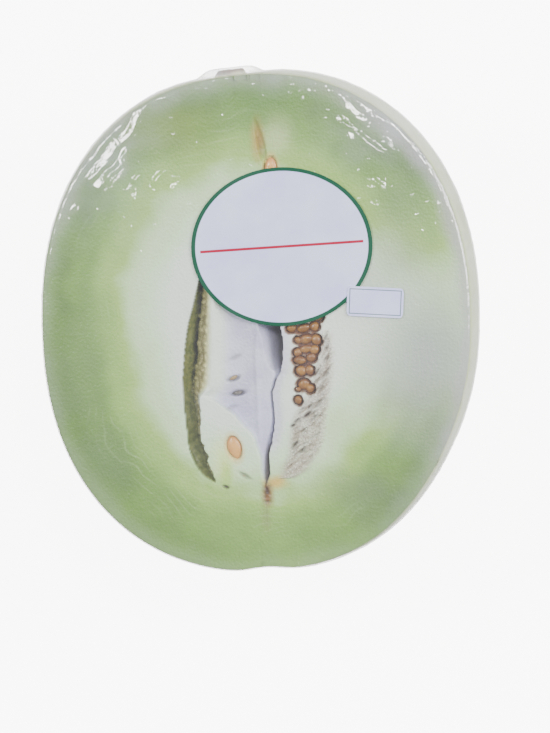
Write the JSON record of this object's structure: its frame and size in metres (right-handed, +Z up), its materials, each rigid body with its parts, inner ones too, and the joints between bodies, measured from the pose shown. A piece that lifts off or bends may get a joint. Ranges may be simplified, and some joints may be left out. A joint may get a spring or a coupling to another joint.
{
  "type": "cut honeydew melon half",
  "caption": "Half honeydew melon, cut lengthwise, wrapped in clear cling film with bare stickers; lies on its back with the seeded cut face up.",
  "frame": {"origin": "middle of the small flat spot on the round underside that the half rests on", "axes": "+Z is up, square to the level cut face; +Y runs to the stem end, -Y to the blossom end; +X is to the right when the cut face is looked at with the stem end at the top"},
  "size_m": [0.1683, 0.1937, 0.0993],
  "materials": {
    "melon_flesh": "satin",
    "seed": "gloss",
    "clear_film": "gloss",
    "sticker_paper": "satin"
  },
  "bodies": {
    "root": {"melon_half": "melon_flesh", "seed_row": "seed", "seed_left": "seed", "seed_top": "seed", "seed_edge_upper": "seed", "seed_edge_middle": "seed", "seed_edge_lower": "seed", "cling_film": "clear_film", "label_oval": "sticker_paper", "label_small": "sticker_paper"}
  },
  "joints": []
}
